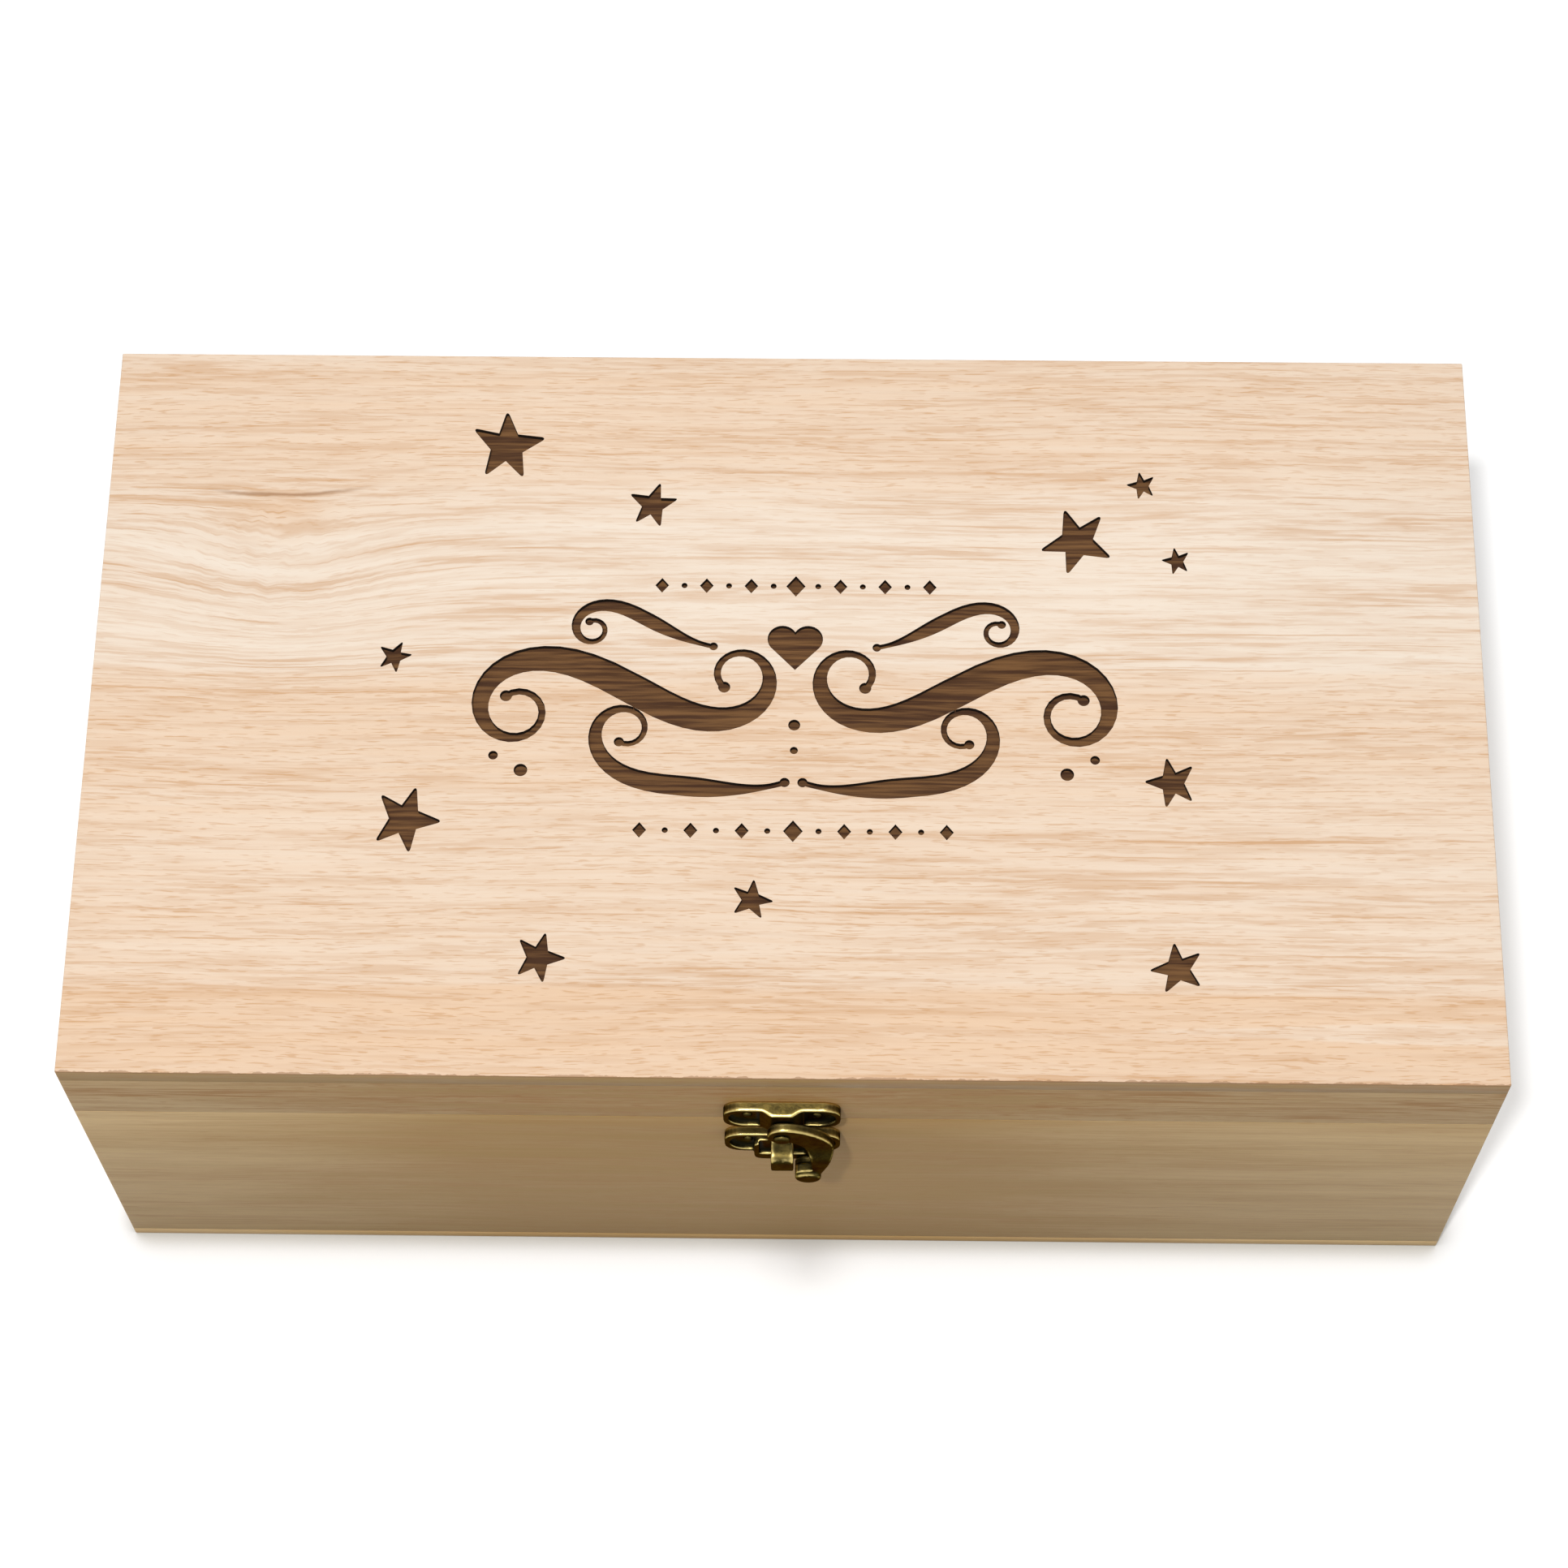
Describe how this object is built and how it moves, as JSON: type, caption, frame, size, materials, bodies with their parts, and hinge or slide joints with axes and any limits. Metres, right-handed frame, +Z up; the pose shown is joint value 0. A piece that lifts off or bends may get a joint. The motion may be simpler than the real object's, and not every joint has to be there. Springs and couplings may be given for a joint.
{
  "type": "keepsake box",
  "caption": "Wooden keepsake box with a hinged lid, an engraved star and scroll top, and a bronze hook latch on the front.",
  "frame": {"origin": "centre of the underside of the box, where it rests", "axes": "+Z up, -Y towards the front with the latch, +X to the right as seen from the front"},
  "size_m": [0.35, 0.2131, 0.125],
  "materials": {
    "oak": "pale oak, sanded smooth and left unvarnished, with burnt brown engraving",
    "aged_bronze": "antique bronze, dark in the hollows and bright on the worn edges",
    "dark_bronze": "dark antique bronze on pins, rivet, nails and screws"
  },
  "bodies": {
    "base": {"base_front_board": "oak", "base_back_board": "oak", "base_left_board": "oak", "base_right_board": "oak", "bottom_panel": "oak", "latch_base_plate": "aged_bronze", "latch_catch": "aged_bronze", "latch_base_nails": "dark_bronze", "hinge_left_base_leaf": "aged_bronze", "hinge_right_base_leaf": "aged_bronze", "hinge_left_pin": "dark_bronze", "hinge_right_pin": "dark_bronze", "hinge_base_screws": "dark_bronze"},
    "lid": {"lid_top_panel": "oak", "lid_front_rail": "oak", "lid_back_rail": "oak", "lid_left_rail": "oak", "lid_right_rail": "oak", "latch_lid_plate": "aged_bronze", "latch_rivet": "dark_bronze", "latch_lid_nails": "dark_bronze", "hinge_left_lid_leaf": "aged_bronze", "hinge_right_lid_leaf": "aged_bronze", "hinge_lid_screws": "dark_bronze"},
    "hook": {"latch_hook": "aged_bronze"}
  },
  "joints": [
    {"name": "lid_hinge", "type": "hinge", "parent": "base", "child": "lid", "pos_m": [0, 0.102, 0.097], "axis": [-1, 0, 0], "range_deg": [0, 180]},
    {"name": "hook_pivot", "type": "hinge", "parent": "lid", "child": "hook", "pos_m": [0, -0.1, 0.101], "axis": [0, -1, 0], "range_deg": [-12, 100]}
  ]
}
